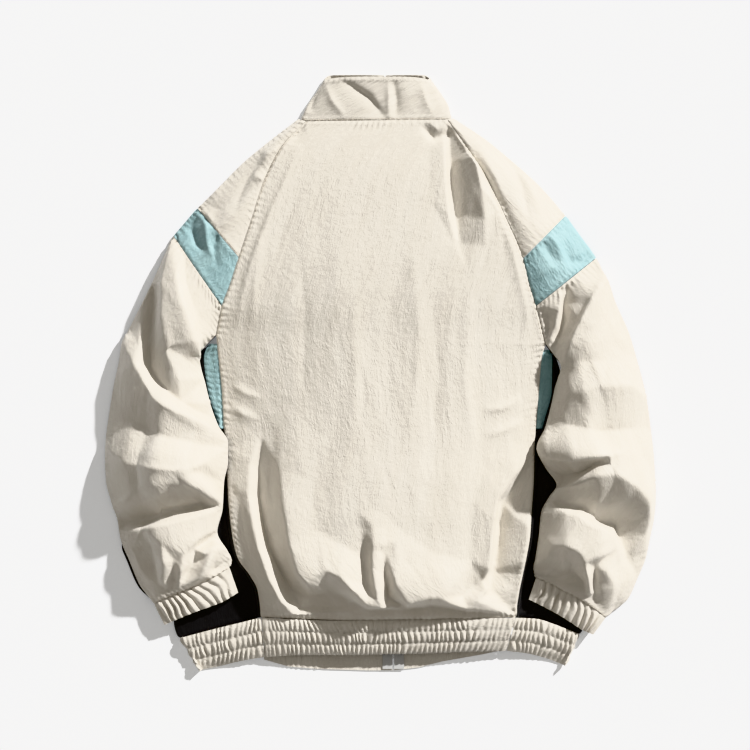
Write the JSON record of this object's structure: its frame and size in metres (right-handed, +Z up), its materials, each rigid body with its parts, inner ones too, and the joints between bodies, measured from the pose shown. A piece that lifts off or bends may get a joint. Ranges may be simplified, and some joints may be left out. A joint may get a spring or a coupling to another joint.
{
  "type": "windbreaker jacket",
  "caption": "Raglan-sleeved windbreaker with stand collar, gathered cuffs and waistband, and full front zip, lying face down and flat with its back up.",
  "frame": {"origin": "on the surface that the jacket lies on, under the middle of its outline", "axes": "+Y from the hem towards the collar, +X to the right of someone looking down at the back, +Z up from the surface"},
  "size_m": [0.7199, 0.778, 0.0559],
  "materials": {
    "cream_nylon": "crinkled woven nylon, faint sheen",
    "blue_nylon": "crinkled woven nylon, faint sheen",
    "black_nylon": "woven nylon, faint sheen",
    "zip_tape": "woven tape, matt",
    "zip_metal": "satin"
  },
  "bodies": {
    "jacket": {"back_panel": "cream_nylon", "collar": "cream_nylon", "sleeve_back_upper_left": "cream_nylon", "sleeve_front_upper_left": "cream_nylon", "sleeve_back_band_left": "blue_nylon", "sleeve_front_band_left": "blue_nylon", "sleeve_back_lower_left": "cream_nylon", "sleeve_front_lower_left": "black_nylon", "side_insert_left": "blue_nylon", "side_panel_left": "black_nylon", "front_panel_left": "cream_nylon", "cuff_left": "cream_nylon", "waistband_side_left": "cream_nylon", "zip_tape_left": "zip_tape", "sleeve_back_upper_right": "cream_nylon", "sleeve_front_upper_right": "cream_nylon", "sleeve_back_band_right": "blue_nylon", "sleeve_front_band_right": "blue_nylon", "sleeve_back_lower_right": "cream_nylon", "sleeve_front_lower_right": "black_nylon", "side_insert_right": "blue_nylon", "side_panel_right": "black_nylon", "front_panel_right": "cream_nylon", "cuff_right": "cream_nylon", "waistband_side_right": "cream_nylon", "zip_tape_right": "zip_tape", "waistband_back": "cream_nylon", "waistband_front_left": "cream_nylon", "front_tab_left": "cream_nylon", "front_tab_right": "cream_nylon", "waistband_front_right": "cream_nylon", "zip_slider": "zip_metal"},
    "pull_tab": {"zip_pull": "zip_metal"}
  },
  "joints": [
    {"name": "pull_tab_hinge", "type": "hinge", "parent": "jacket", "child": "pull_tab", "pos_m": [0.0066, 0.345, 0.0022], "axis": [1, 0, 0], "range_deg": [0, 170]}
  ]
}
